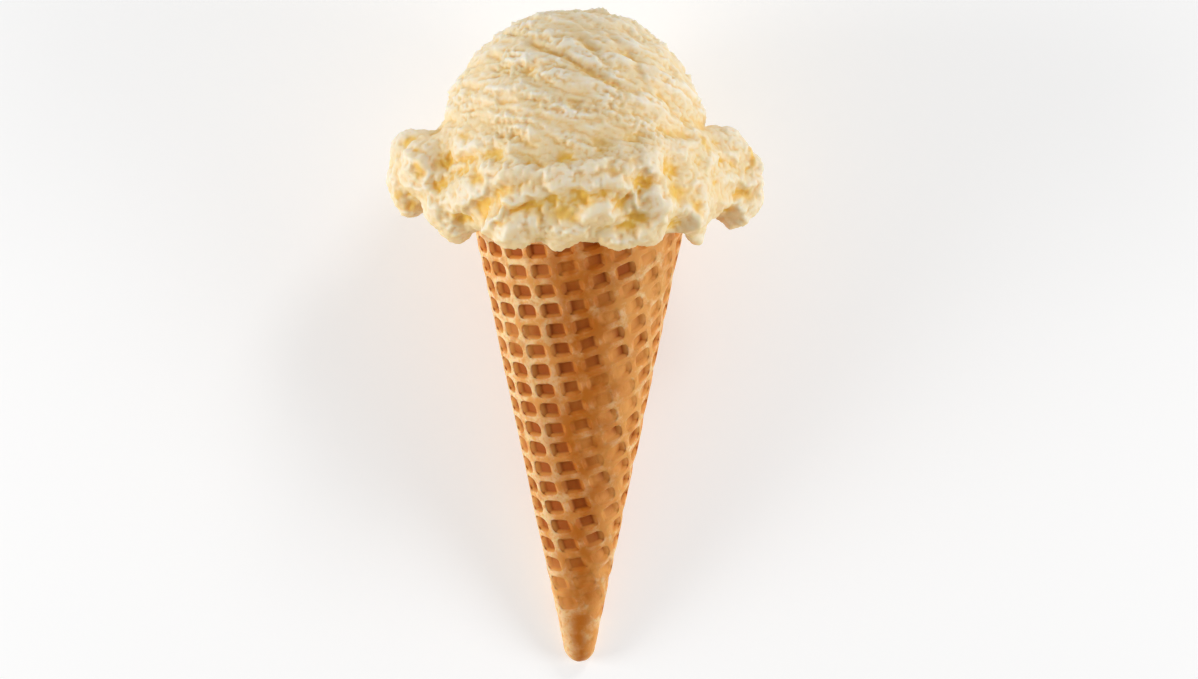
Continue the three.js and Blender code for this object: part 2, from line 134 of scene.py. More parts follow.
class WaferSettings(bpy.types.PropertyGroup):
    """Sizes and colours of the rolled wafer."""

    length: bpy.props.FloatProperty(
        name="Length", description="From tip to rim", default=0.118, unit="LENGTH")
    rim_radius: bpy.props.FloatProperty(
        name="Rim radius", description="Outside, at the rim", default=0.0271, unit="LENGTH")
    tip_radius: bpy.props.FloatProperty(
        name="Tip radius", description="Where the straight side would meet the end of the tip",
        default=0.0031, unit="LENGTH")
    tip_rounding: bpy.props.FloatProperty(
        name="Tip rounding", description="Length over which the tip rounds off",
        default=0.003, unit="LENGTH")
    wall: bpy.props.FloatProperty(
        name="Wall", description="Thickness of the wafer", default=0.0026, unit="LENGTH")
    hollow_start: bpy.props.FloatProperty(
        name="Hollow start", description="Height at which the inside begins",
        default=0.008, unit="LENGTH")
    seam_step: bpy.props.FloatProperty(
        name="Seam step", description="How proud the sheet's outer edge stands at the rim",
        default=0.0016, unit="LENGTH")
    column_pitch: bpy.props.FloatProperty(
        name="Column pitch", description="From pocket to pocket round the cone",
        default=0.0069, unit="LENGTH")
    row_pitch: bpy.props.FloatProperty(
        name="Row pitch", description="From pocket to pocket along the cone",
        default=0.0053, unit="LENGTH")
    rib_width: bpy.props.FloatProperty(
        name="Rib width", description="Between two pockets", default=0.0013, unit="LENGTH")
    pocket_depth: bpy.props.FloatProperty(
        name="Pocket depth", description="Below the ribs", default=0.0013, unit="LENGTH")
    pocket_slope: bpy.props.FloatProperty(
        name="Pocket slope", description="How far a pocket's floor lies in from its edge",
        default=0.00085, unit="LENGTH")
    floor_share: bpy.props.FloatProperty(
        name="Floor share", description="How much of its width round the cone a floor keeps",
        default=0.8)
    pocket_floor: bpy.props.FloatProperty(
        name="Pocket floor", description="Width of the outer part of a pocket's floor",
        default=0.0004, unit="LENGTH")
    rib_crown: bpy.props.FloatProperty(
        name="Rib crown", description="How far a rib's middle stands above its edges",
        default=0.0003, unit="LENGTH")
    edge_crease: bpy.props.FloatProperty(
        name="Edge crease", description="How sharp the pockets' edges are", default=0.6)
    corner_crease: bpy.props.FloatProperty(
        name="Corner crease", description="How sharp the pockets' corners are", default=1.0)
    uneven_size: bpy.props.FloatProperty(
        name="Uneven size", description="Size of the grid's unevenness",
        default=0.007, unit="LENGTH")
    uneven_depth: bpy.props.FloatProperty(
        name="Uneven depth", description="How uneven the grid is", default=0.0003, unit="LENGTH")
    pale_colour: bpy.props.FloatVectorProperty(
        name="Pale colour", description="The palest patches of the ribs", subtype="COLOR",
        default=(0.94, 0.64, 0.32), min=0, max=1)
    baked_colour: bpy.props.FloatVectorProperty(
        name="Baked colour", description="Ribs and walls of the pockets", subtype="COLOR",
        default=(0.82, 0.37, 0.095), min=0, max=1)
    # Colour of the band down the middle: partly toasting, partly painted shade.
    toast_and_shade_colour: bpy.props.FloatVectorProperty(
        name="Toasted colour", description="The browner band down the middle", subtype="COLOR",
        default=(0.52, 0.15, 0.010), min=0, max=1)
    # Partly the pockets' browner baking, partly painted shade that darkens their floors.
    pocket_brown_and_shade_colour: bpy.props.FloatVectorProperty(
        name="Pocket colour", description="Floors of the pockets", subtype="COLOR",
        default=(0.42, 0.10, 0.009), min=0, max=1)


class ScoopSettings(bpy.types.PropertyGroup):
    """Sizes and colours of the ice cream."""

    ball_radius: bpy.props.FloatProperty(
        name="Ball radius", description="Radius of the scoop", default=0.0322, unit="LENGTH")
    ball_height: bpy.props.FloatProperty(
        name="Ball height", description="Height of the scoop's middle above the tip",
        default=0.1354, unit="LENGTH")
    ball_offset: bpy.props.FloatProperty(
        name="Ball offset", description="How far the scoop sits off the axis",
        default=-0.0013, unit="LENGTH")
    ball_flatten: bpy.props.FloatProperty(
        name="Ball flatten", description="Height of the ball as a share of its width", default=0.967)
    skirt_height: bpy.props.FloatProperty(
        name="Skirt height", description="Height of the ring under the lumps",
        default=0.1246, unit="LENGTH")
    skirt_ring: bpy.props.FloatProperty(
        name="Skirt ring", description="Radius of the ring under the lumps",
        default=0.0283, unit="LENGTH")
    skirt_thickness: bpy.props.FloatProperty(
        name="Skirt thickness", description="Radius of the ring's section",
        default=0.0096, unit="LENGTH")
    fit_gap: bpy.props.FloatProperty(
        name="Fit gap", description="Between the ice cream and the wafer",
        default=0.0002, unit="LENGTH")
    form_size: bpy.props.FloatProperty(
        name="Form size", description="Size of the voxels that fuse the lumps",
        default=0.0009, unit="LENGTH")
    detail_size: bpy.props.FloatProperty(
        name="Detail size", description="Size of the voxels of the finished surface",
        default=0.00056, unit="LENGTH")
    streak_depth: bpy.props.FloatProperty(
        name="Streak depth", description="How deep the scoop dragged the ball's surface",
        default=0.0013, unit="LENGTH")
    fold_depth: bpy.props.FloatProperty(
        name="Fold depth", description="How far a fold of 1 rises", default=0.0009, unit="LENGTH")
    hollow_depth: bpy.props.FloatProperty(
        name="Hollow depth", description="How deep a hollow of 1 is", default=0.0005, unit="LENGTH")
    curd_depth: bpy.props.FloatProperty(
        name="Curd depth", description="How deep the torn skirt is broken up",
        default=0.0011, unit="LENGTH")
    cream_colour: bpy.props.FloatVectorProperty(
        name="Cream colour", description="Most of the ice cream", subtype="COLOR",
        default=(0.95, 0.74, 0.45), min=0, max=1)
    # Painted highlight: the colour of the crests, whiter where they stand out and less where they face
    # down.
    crest_highlight_colour: bpy.props.FloatVectorProperty(
        name="Crest colour", description="Crests of the ice cream's folds", subtype="COLOR",
        default=(0.98, 0.85, 0.70), min=0, max=1)
    # Painted shade: the deep yellow of crevices and hollows, standing in for shade and light scattered
    # in the cream.
    crevice_shade_colour: bpy.props.FloatVectorProperty(
        name="Crevice colour", description="Deep parts of the ice cream", subtype="COLOR",
        default=(0.94, 0.56, 0.08), min=0, max=1)


class StageSettings(bpy.types.PropertyGroup):
    """The floor, the lights and the camera."""

    floor_colour: bpy.props.FloatVectorProperty(
        name="Floor colour", description="Plain pale floor", subtype="COLOR",
        default=(0.7, 0.7, 0.7), min=0, max=1)
    floor_glow: bpy.props.FloatProperty(
        name="Floor glow", description="Light that the floor gives off itself", default=0.38)
    key_power: bpy.props.FloatProperty(
        name="Key power", description="Soft light from past the scoop, on the right",
        default=3.0, unit="POWER")
    left_power: bpy.props.FloatProperty(
        name="Left power", description="Soft low light from the left", default=5.5, unit="POWER")
    right_power: bpy.props.FloatProperty(
        name="Right power", description="Soft low light from the right", default=3.8, unit="POWER")
    room_light: bpy.props.FloatProperty(
        name="Room light", description="Strength of the even light from all round", default=0.34)
    camera_distance: bpy.props.FloatProperty(
        name="Camera distance", description="From the camera to the cone", default=1.6, unit="LENGTH")
    camera_tilt: bpy.props.FloatProperty(
        name="Camera tilt", description="From square to the cone's axis, towards the scoop",
        default=math.radians(13), unit="ROTATION")
    frame_width: bpy.props.FloatProperty(
        name="Frame width", description="Width that the camera sees at the cone",
        default=0.2995, unit="LENGTH")


# ---- Modelling helpers ------------------------------------------------------------------------


def smoothstep(value, low, high):
    """0 up to low and 1 from high, with a smooth rise between, for a number or an array."""
    share = np.clip((value - low) / (high - low), 0, 1)
    return share * share * (3 - 2 * share)


def wander(place):
    """A noise in each direction at a place, which is the same on every run."""
    return Vector([noise.noise(place + shift * AWAY) for shift in (1, 2, 3)])


def select_only(piece):
    """Makes one object the only selected and active one."""
    bpy.ops.object.select_all(action="DESELECT")
    piece.select_set(True)
    bpy.context.view_layer.objects.active = piece


def apply_modifier(piece, kind, **settings):
    """Adds a modifier with these settings and applies it."""
    modifier = piece.modifiers.new(kind, kind)
    for name, value in settings.items():
        setattr(modifier, name, value)
    select_only(piece)
    bpy.ops.object.modifier_apply(modifier=modifier.name)


def apply_place(piece):
    """Moves an object's place, turn and size into its mesh."""
    select_only(piece)
    bpy.ops.object.transform_apply(location=True, rotation=True, scale=True)


def join(pieces):
    """Joins objects into the first one."""
    select_only(pieces[0])
    for piece in pieces[1:]:
        piece.select_set(True)
    bpy.ops.object.join()
    return pieces[0]


def points_of(piece):
    """The piece's points, as an array."""
    points = np.empty(3 * len(piece.data.vertices))
    piece.data.vertices.foreach_get("co", points)
    return points.reshape(-1, 3)


def set_points(piece, points):
    """Moves the piece's points."""
    piece.data.vertices.foreach_set("co", points.ravel())
    piece.data.update()


def normals_of(piece):
    """The normal at each point of the piece."""
    normals = np.empty(3 * len(piece.data.vertices), dtype=np.float32)
    piece.data.vertex_normals.foreach_get("vector", normals)
    return normals.reshape(-1, 3)


def store(piece, name, values):
    """Keeps a number for each point in an attribute that a material can read."""
    attribute = piece.data.attributes.new(name, "FLOAT", "POINT")
    attribute.data.foreach_set("value", np.asarray(values, dtype=np.float32))


def start_edit(piece):
    """Goes into edit mode on the piece with everything selected, and gives its edit mesh."""
    select_only(piece)
    bpy.ops.object.mode_set(mode="EDIT")
    bpy.ops.mesh.select_all(action="SELECT")
    return bmesh.from_edit_mesh(piece.data)


def pick(edit_mesh, kind, test):
    """Selects those faces or edges of the edit mesh that the test accepts."""
    bpy.ops.mesh.select_mode(type="FACE" if kind == "faces" else "EDGE")
    items = getattr(edit_mesh, kind)
    chosen = [item for item in items if test(item)]
    bpy.ops.mesh.select_all(action="DESELECT")
    for item in chosen:
        item.select_set(True)
    edit_mesh.select_flush_mode()


def end_edit():
    """Goes back to object mode."""
    bpy.ops.object.mode_set(mode="OBJECT")


def lay_down(piece):
    """Lays an upright piece down as the frame lies, pressed flat where it meets the floor."""
    piece.matrix_world = LAID
    apply_place(piece)
    points = points_of(piece)
    points[:, 2] = np.maximum(points[:, 2], 0)
    set_points(piece, points)


# ---- Wafer ------------------------------------------------------------------------------------


class ConeShape:
    """The straight cone that the flat sheet is rolled to."""

    def __init__(self, s):
        self.s = s
        self.taper = (s.rim_radius - s.tip_radius) / s.length
        self.half_angle = math.atan(self.taper)
        self.apex_drop = s.tip_radius / self.taper
        self.rim_slant = (s.length + self.apex_drop) / math.cos(self.half_angle)
        start, end = (
            (turn + SHEET_TURN) * math.sin(self.half_angle)
            for turn in (SEAM_TURN, SEAM_TURN + 2 * math.pi - SEAM_WIDTH))
        self.sides = (  # the directions on the flat sheet that lead out past its straight edges
            Vector((-math.cos(start), math.sin(start), 0)),
            Vector((math.cos(end), -math.sin(end), 0)))

    def turn(self, across, along):
        """How far round from the front a place on the flat sheet comes to lie."""
        return np.arctan2(across, along) / math.sin(self.half_angle) - SHEET_TURN

    def height(self, across, along):
        """How far above the tip a place on the flat sheet comes to lie."""
        return np.hypot(across, along) * math.cos(self.half_angle) - self.apex_drop

    def lower_share(self, points, over):
        """0 above the cone's lower part and 1 so far down into it, for points of the flat sheet."""
        return smoothstep(LOWER_PART - self.height(points[:, 0], points[:, 1]), 0, over)

    def rolled(self, points):
        """Rolls points of the flat sheet (across, along, out) onto the cone."""
        across, along, out = points.T
        turn = self.turn(across, along)
        height = self.height(across, along)
        proud = smoothstep(SEAM_FADE + turn - SEAM_TURN - 2 * math.pi, 0, SEAM_FADE)
        radius = self.s.tip_radius + self.taper * height
        radius = radius * (1 + proud * self.s.seam_step / self.s.rim_radius)
        radius = radius + out * math.cos(self.half_angle)
        height = height - out * math.sin(self.half_angle)
        return np.stack((radius * np.sin(turn), -radius * np.cos(turn), height), axis=1)


def grid_drift(along):
    """How far the grid has drifted across, so far along the sheet."""
    short = np.maximum(0, (GRID_DRIFT["from"] - along) / GRID_DRIFT["over"])
    return GRID_DRIFT["by"] * short**2


def across_cell(points, s):
    """Where each point of the flat sheet lies across its cell, from -0.5 to 0.5."""
    offset = points[:, :2] - GRID_START
    offset[:, 0] -= grid_drift(points[:, 1])
    column = (offset @ (math.cos(GRID_SLANT), -math.sin(GRID_SLANT))) / s.column_pitch
    return column - np.round(column)


def add_flat_sheet(s, cone):
    """Lays out the flat sheet as a grid of cells, one for each pocket, and trims it roughly."""
    columns = GRID_CELLS["left"] + GRID_CELLS["right"] + 1
    rows = GRID_CELLS["above"] + GRID_CELLS["below"] + 1
    bpy.ops.object.select_all(action="DESELECT")
    bpy.ops.mesh.primitive_grid_add(x_subdivisions=columns, y_subdivisions=rows, size=1)
    sheet = bpy.context.object
    sheet.name = "rolled_wafer"
    sheet.scale = (columns * s.column_pitch, rows * s.row_pitch, 1)
    sheet.location = (
        (GRID_CELLS["right"] - GRID_CELLS["left"]) / 2 * s.column_pitch,
        (GRID_CELLS["above"] - GRID_CELLS["below"]) / 2 * s.row_pitch, 0)
    apply_place(sheet)
    sheet.rotation_euler.z = -GRID_SLANT
    sheet.location = (*GRID_START, 0)
    apply_place(sheet)

    points = points_of(sheet)
    points[:, 0] += grid_drift(points[:, 1])
    set_points(sheet, points)

    def is_outside(face):
        centre = face.calc_center_median()
        past = [side.dot(centre) for side in cone.sides] + [centre.length - cone.rim_slant]
        return max(past) > GRID_MARGIN * s.column_pitch

    edit_mesh = start_edit(sheet)
    pick(edit_mesh, "faces", is_outside)
    bpy.ops.mesh.delete(type="FACE")
    end_edit()
    return sheet


def sink_pockets(sheet, s, cone):
    """Insets every cell and sinks a pocket wherever one has room."""

    def has_pocket(face):
        centre = face.calc_center_median()
        room = min(-side.dot(centre) for side in cone.sides)
        is_clear = centre.length > GRID_END["stops"] and cone.height(*centre.xy) < COVERED_HEIGHT
        return room > s.column_pitch / 2 and is_clear

    def is_slope(face):
        low, high = SLOPE_SHARES
        return low < -face.calc_center_median().z / s.pocket_depth < high

    edit_mesh = start_edit(sheet)
    bpy.ops.transform.translate(value=(0, 0, s.rib_crown))
    bpy.ops.mesh.inset(thickness=s.rib_width / 2, depth=-s.rib_crown, use_individual=True)
    bpy.ops.mesh.inset(thickness=s.pocket_slope, use_individual=True)
    pick(edit_mesh, "faces", lambda face: face.select and has_pocket(face))
    bpy.ops.transform.translate(value=(0, 0, -s.pocket_depth))
    bpy.ops.mesh.inset(thickness=s.pocket_floor, use_individual=True)
    pick(edit_mesh, "faces", is_slope)
    bpy.ops.transform.edge_crease(value=s.edge_crease)
    bpy.ops.mesh.select_mode(type="VERT")
    bpy.ops.transform.vert_crease(value=s.corner_crease)
    end_edit()


def wear_pockets(sheet, s, cone):
    """Narrows the floors, makes the pockets shallow by the tip and uneven, and rounds it all."""
    points = points_of(sheet)
    is_floor = points[:, 2] < -s.pocket_depth / 2
    points[:, 0] -= is_floor * (1 - s.floor_share) * s.column_pitch * across_cell(points, s)
    strength = smoothstep(np.hypot(points[:, 0], points[:, 1]), GRID_END["stops"], GRID_END["fades"])
    points[:, 2] *= SHALLOW_SHARE + (1 - SHALLOW_SHARE) * strength
    middle = WORN["turn"] - WORN["shifts"] * cone.lower_share(points, WORN["over"])
    worn = np.exp(-((cone.turn(points[:, 0], points[:, 1]) - middle) / WORN["width"]) ** 2)
    slit = WORN["slit"] * smoothstep(across_cell(points, s), 0, WORN["slit_width"])
    for point, share, kept in zip(points, worn, slit):
        place = Vector(point) / s.uneven_size
        filled = WORN["share"] * share * (1 - kept)
        filled += PATCHES["share"] * noise.noise(place * PATCHES["scale"])
        filled += share * SPECKS["share"] * noise.noise(place * SPECKS["scale"])
        point += wander(place) * s.uneven_depth
        point[2] *= 1 - min(max(filled, 0), WORN["most"])
    set_points(sheet, points)
    apply_modifier(sheet, "SUBSURF", levels=GRID_LEVELS, render_levels=GRID_LEVELS)


def store_baking_and_shade(sheet, s, cone):
    """Keeps how deep in a pocket each point lies, and how far into the browner parts, which are partly
    baking and partly painted shade.
    """
    points = points_of(sheet)
    turn = cone.turn(points[:, 0], points[:, 1])
    drift = [noise.noise(Vector(point) / TOAST_AND_SHADE_BAND["size"]) for point in points]
    width = TOAST_AND_SHADE_BAND["width"] * (1 + TOAST_AND_SHADE_BAND["widens"] * cone.lower_share(points, TOAST_AND_SHADE_BAND["over"]))
    off = (turn + TOAST_AND_SHADE_BAND["wander"] * np.array(drift) - TOAST_AND_SHADE_BAND["turn"]) / width
    store(sheet, "sunk", np.clip(-points[:, 2] / s.pocket_depth, 0, 1))
    store(sheet, "toasted", np.exp(-(off**2)))
    store(sheet, "tanned", np.exp(-(((turn - TANNED["turn"]) / TANNED["width"]) ** 2)))


def trim_sheet(sheet, cone):
    """Trims the flat sheet's straight edges, and what would lie past the tip."""
    edit_mesh = start_edit(sheet)
    for side in cone.sides:
        bpy.ops.mesh.select_all(action="SELECT")
        bpy.ops.mesh.bisect(
            plane_co=(0, 0, 0), plane_no=side, clear_outer=True, threshold=CUT_CLOSENESS)
    bpy.ops.mesh.select_all(action="SELECT")
    bpy.ops.mesh.remove_doubles(threshold=MERGE_DISTANCE)
    past_tip = TIP_TRIM * cone.apex_drop
    pick(edit_mesh, "faces", lambda face: face.calc_center_median().length < past_tip)
    bpy.ops.mesh.delete(type="FACE")
    end_edit()


def roll_sheet(sheet, s, cone):
    """Rolls the sheet to a cone, cuts its rim and tip square and rounds the tip."""
    set_points(sheet, cone.rolled(points_of(sheet)))
    start_edit(sheet)
    for height, out in ((s.length, 1), (LOWEST_SHARE * s.tip_rounding, -1)):
        bpy.ops.mesh.select_all(action="SELECT")
        bpy.ops.mesh.bisect(
            plane_co=(0, 0, height), plane_no=(0, 0, out), clear_outer=True,
            threshold=CUT_CLOSENESS)
    end_edit()
    points = points_of(sheet)
    short = np.clip(1 - points[:, 2] / s.tip_rounding, 0, 1)
    points[:, :2] *= np.sqrt(1 - short**2)[:, None]
    set_points(sheet, points)


def close_wafer(sheet, s, cone):
    """Closes the sheet's seam and the tip, and makes the rim and the plain inside."""

    def is_end(edge, height):
        return edge.is_boundary and all(abs(point.co.z - height) < END_CLOSENESS for point in edge.verts)

    inner_rim = s.rim_radius - s.wall
    inner_end = s.tip_radius + cone.taper * s.hollow_start - s.wall
    edit_mesh = start_edit(sheet)
    ends = (s.length, LOWEST_SHARE * s.tip_rounding)
    pick(edit_mesh, "edges", lambda edge: edge.is_boundary and not any(is_end(edge, z) for z in ends))
    bpy.ops.mesh.bridge_edge_loops()
    pick(edit_mesh, "edges", lambda edge: edge.is_boundary and not is_end(edge, s.length))
    bpy.ops.mesh.edge_face_add()
    pick(edit_mesh, "edges", lambda edge: is_end(edge, s.length))
    bpy.ops.mesh.extrude_edges_move()
    share = inner_rim / s.rim_radius
    bpy.ops.transform.resize(value=(share, share, 1), center_override=(0, 0, s.length))
    bpy.ops.mesh.extrude_edges_move()
    bpy.ops.transform.translate(value=(0, 0, s.hollow_start - s.length))
    share = inner_end / inner_rim
    bpy.ops.transform.resize(value=(share, share, 1), center_override=(0, 0, s.hollow_start))
    bpy.ops.mesh.edge_face_add()
    bpy.ops.mesh.select_all(action="SELECT")
    bpy.ops.mesh.normals_make_consistent(inside=False)
    end_edit()


class AddWafer(bpy.types.Operator):
    """Rolls the wafer cone from a flat sheet with a waffle grid"""

    bl_idname = "cone.add_wafer"
    bl_label = "Add Rolled Wafer"

    def execute(self, context):
        s = context.scene.wafer_settings
        cone = ConeShape(s)
        sheet = add_flat_sheet(s, cone)
        sink_pockets(sheet, s, cone)
        wear_pockets(sheet, s, cone)
        store_baking_and_shade(sheet, s, cone)
        trim_sheet(sheet, cone)
        roll_sheet(sheet, s, cone)
        close_wafer(sheet, s, cone)
        lay_down(sheet)
        select_only(sheet)
        bpy.ops.object.shade_smooth_by_angle(angle=SHARP_ANGLE)
        sheet.data.materials.append(baked_wafer(s))
        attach(sheet, "root")
        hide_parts("wafer_cone")
        return {"FINISHED"}


# ---- Ice cream --------------------------------------------------------------------------------

LUMP_SUBDIVISIONS = 4
BALL_GRID = {"segments": 128, "ring_count": 64}
RING_GRID = {"major_segments": 96, "minor_segments": 32}
STEM_SIDES = 96
SOCKET_BOTTOM = 80 * MM  # the scoop is cut to the wafer from here up to the rim
FUSE_FACTOR = 0.5  # of the way to smooth, in each of the rounds below
FORM_SMOOTHING = 50  # rounds, once the lumps are fused
DETAIL_SMOOTHING = 8  # rounds, once the ball has joined them
SKIRT_STARTS = (0.0004, 0.0028)  # m outside the ball, from where it is dragged to where it is torn
LOOSE_FROM = (-0.006, 0.006)  # m towards the back, where the curds grow coarser

# The noises below are measured in millimetres, unless they say otherwise.
DRAG_AXIS = Vector((-0.32, -0.5, -0.8)).normalized()  # the scoop was turned about this
DRAG_POLE = 14  # so near that axis the streaks fade to an even grain
STREAKS = [  # share, what is added to it where torn, turns round the axis, width along it
    [0.7, 0, 1.7, 5], [0.45, 0.4, 5, 1.7], [0.25, 0.25, 16, 0.8]]
STREAK_SWAY = {"by": 0.9, "turns": 4, "width": 6}
TORN = {"turns": 3.2, "width": 5.5, "from": -0.2, "to": 0.35}  # torn patches of the ball
CRUMBS = {"size": 1.2, "finer_share": 0.8, "on_ball": 0.65, "on_skirt": 0.7}
BALL_CRUMBS = {"share": 0.12, "torn_share": 0.3}
CURD_SIZES = {"sway": 3.4, "lump": 6.5, "fold": 4.6, "bit": 2.3}
CURD_SWAY = 1.6
CURD_SHARES = {"lump": 0.5, "fold": 0.1, "loose_fold": 1.1, "bit": 0.34, "crumb": 0.28}
FOLD_LEVEL = 0.3  # of the noise, between its folds and its dips
FRAYED = {"size": 2.2 * MM, "by": 1.5 * MM}  # how the folds and hollows stray from their lines
LIP_SHARE = 0.55  # how far the lips beside a drag mark rise, against its depth
HOLLOW_SPREAD = 1.7  # how far a hollow's edge spreads past its half width
CREVICES = (("pitted", 6, 0.12 * MM), ("crevice", 70, 1.3 * MM))  # rounds of smoothing and depth
SMOOTHING_STEP = 0.6  # of the way to the neighbours' mean, in each round
FRONT_TILT = math.radians(13)  # the front view looks down this much from square to the axis
CAST_FROM = 100 * MM  # before the cone, where the front view's rays start
APRON = [  # lumps that fill in between the ball and the folds, as [turn, reach, height, radius]
    [-88, 30, 134, 6.4], [-72, 29.6, 135.4, 7], [-58, 29.2, 136.6, 6.8], [-44, 29, 137, 6.6],
    [-30, 28.8, 137.2, 6.2], [-14, 28.8, 137, 5.8], [2, 28.8, 136.8, 5.8], [18, 28.8, 136.8, 6],
    [34, 28.6, 136, 6.2], [50, 28.6, 134.4, 6.4], [66, 29.4, 133.6, 6.6], [82, 30.2, 133, 6.4]]
DRAG_MARKS = [  # valleys on the ball: [turn, rise] in degrees from end to end, width and depth
    [[[-36, 57], [-2, 48], [15, 39], [34, 30]], 1.7, 0.9],
    [[[-98, 56], [-60, 60], [-27, 56]], 1.5, 0.7],
    [[[6, 63], [12, 57], [18, 50]], 1.6, 0.8],
    [[[43, 51], [42, 44], [40, 38]], 1.5, 0.7],
    [[[49, 27], [52, 23], [55, 18]], 1.9, 1.1],
    [[[-38, 25], [-19, 28], [3, 27]], 1.3, 0.8],
    [[[-16, 20], [-2, 17], [12, 18]], 1.2, 0.5],
    [[[-66, 46], [-46, 43], [-27, 43]], 1.3, 0.6],
    [[[37, 63], [38, 56], [39, 49]], 1.4, 0.7],
    [[[-16, 37], [-4, 32], [8, 30]], 1.2, 0.6],
    [[[-63, 27], [-51, 29], [-39, 28]], 1.2, 0.5]]
FOLDS = [  # raised folds of the skirt, seen from the front: stops as [across, height], width, rise
    [[[-31.9, 111.4], [-30.9, 114.1], [-29.1, 116.8], [-26.6, 118.9], [-23.6, 120.9],
        [-21.1, 122.6], [-18.4, 124], [-15.2, 125], [-11.8, 125.4]], 1.5, 1.7],
    [[[-11.8, 125.4], [-8.2, 124.9], [-4.5, 125.4], [-0.4, 125.9], [3.2, 126.9], [6.6, 127.9]],
        1.4, 1.2],
    [[[-38.1, 122.5], [-36.6, 120], [-35.6, 117.1], [-34.1, 114.1], [-32.4, 110.9]], 1.4, 1.2],
    [[[-22.6, 110.7], [-20.9, 112.9], [-18.9, 114.8], [-17.4, 117.1], [-15.5, 118.5],
        [-12.8, 119.5], [-9.9, 120]], 1.4, 1.8],
    [[[-18.4, 109.1], [-16.7, 111.8], [-14, 113.8], [-11.1, 113.3], [-9.9, 110.6]], 1.7, 1.3],
    [[[-5.5, 120.9], [-3.3, 122.4], [-0.4, 122.9], [2.3, 121.9]], 1.5, 1.2],
    [[[4.2, 122.2], [6.6, 122.9], [9.5, 122.7], [11.7, 121.3], [13.4, 118.8], [14.4, 116.3]], 1.4, 1.7],
    [[[2.7, 114.5], [4.4, 116], [6.6, 116], [8.1, 114.3]], 2, 1.7],
    [[[16.1, 120.3], [18.3, 120], [20, 117.8], [20.7, 114.8], [19, 112.1], [16.1, 109.9]], 1.5, 1.5],
    [[[25.2, 116.2], [27.2, 116.7], [28.6, 114.5], [28.2, 111.8], [28.1, 109.4]], 1.7, 1.6],
    [[[12, 125.9], [14.9, 127.5], [17.8, 126], [20.8, 123.6]], 1.3, 1],
    [[[31.7, 128.5], [33.7, 130.6], [36.3, 131.3], [38.3, 129.8]], 1.5, 1.2],
    [[[41.4, 132], [43.8, 129.4], [44.9, 125.9], [44.4, 122.3]], 1.4, 1.2],
    [[[33.8, 116], [35.2, 118.5], [37.9, 118.2], [40.4, 116.2], [40.9, 113.7]], 1.5, 1.4],
    [[[35.7, 125.1], [37.8, 123.7], [40.3, 124.3], [42.3, 122.8]], 1.4, 1.1],
    [[[-44.8, 128.8], [-45.8, 125.3], [-45.3, 121.7], [-44.4, 118.7]], 1.5, 1.1],
    [[[-43.1, 130.2], [-40.6, 129.1], [-38.1, 127], [-37.1, 124.5]], 1.4, 1.1],
    [[[-43.1, 123.1], [-40.6, 121.5], [-38.1, 120.5]], 1.4, 1.1],
    [[[-34.1, 125], [-31.7, 126.5], [-28.7, 127.4], [-25.7, 127.3]], 1.4, 1],
    [[[-30.4, 130], [-27.6, 131.4], [-24.6, 132.2]], 1.4, 0.9],
    [[[-23.1, 127.1], [-20.1, 126.1], [-16.7, 126.7], [-13.8, 128]], 1.3, 0.8],
    [[[-7, 111.1], [-4.6, 109.6], [-1.6, 110.5], [1.3, 109.6]], 1.6, 1.1],
    [[[6.1, 109.6], [9.1, 108.6], [12.5, 108.1], [15.4, 108.6]], 1.6, 1.1],
]
HOLLOWS = [  # hollows of the skirt: across, height, half its width, half its height, depth
    [-42.3, 133.9, 1.5, 1.1, 1], [-39.8, 131.4, 1.1, 0.9, 1.2], [-40.1, 126, 1.2, 1.5, 1.6],
    [-41.4, 117.2, 2.2, 0.9, 1.4], [-44.8, 120.7, 0.8, 1.5, 0.9], [-34.6, 128, 0.8, 1.5, 0.9],
    [-28.4, 134.7, 1.5, 0.9, 0.8], [-22.2, 130.5, 2.1, 0.6, 0.9], [-25, 123.9, 2.5, 1.0, 1.6],
    [-31.4, 128.5, 0.9, 1.2, 1], [-27.2, 128.4, 3.0, 0.6, 0.6], [-18.4, 127.5, 1.2, 1.0, 0.7],
    [-10.6, 127.7, 2.5, 0.6, 0.7], [-3.8, 127.9, 1.2, 1.1, 0.8], [-28.7, 114.3, 2.2, 1.0, 2.2],
    [-23.6, 115.4, 1.1, 1.8, 2], [-19.4, 116.8, 0.8, 1.4, 1.5], [-13.5, 116.5, 2.5, 0.8, 1.3],
    [-17.9, 120.5, 2.0, 1.0, 0.9], [-6.5, 118, 0.9, 1.2, 2.2], [-9.2, 114.5, 0.9, 1.4, 1.6],
    [-4.1, 115, 2.5, 1.5, 1], [1.8, 118.2, 1.6, 0.8, 1.5], [10, 117.8, 1.1, 0.8, 1.6],
    [13.7, 114.1, 2.1, 1.1, 2.4], [11.5, 111.1, 2.2, 0.9, 1.8], [16.1, 122.8, 1.5, 1.1, 1.4],
    [8.6, 125.2, 2.2, 0.8, 0.7], [22.8, 126.7, 1.6, 1.2, 1], [24.2, 120.2, 2.8, 1.5, 1.4],
    [29.1, 117.8, 1.1, 2.0, 2.2], [22.8, 112.2, 1.0, 1.4, 1.6], [12.9, 127.7, 1.9, 0.9, 0.6],
    [31.2, 133.5, 1.1, 1.8, 1.2], [42.9, 129.9, 1.1, 1.5, 1], [33.7, 123, 1.5, 0.9, 1.3],
    [40.4, 120.3, 2.0, 1.0, 1.4], [37.1, 116.7, 0.9, 1.0, 1.2], [32.8, 114.5, 1.0, 1.5, 1.4],
    [-19.2, 112.1, 0.8, 0.8, 1], [-0.9, 113.8, 1.2, 1.0, 1], [6.6, 120, 1.2, 0.8, 0.8],
    [1.2, 107.6, 1.8, 0.6, 2], [4.7, 107.4, 1.8, 0.6, 2], [-10.3, 106.8, 2.0, 0.6, 1.6]]


def seeded_numbers(seed):
    """Gives the same run of numbers between 0 and 1 for a seed."""
    factor, step, top = 1664525, 1013904223, 2**32
    state = seed
    while True:
        state = (state * factor + step) % top
        yield state / top


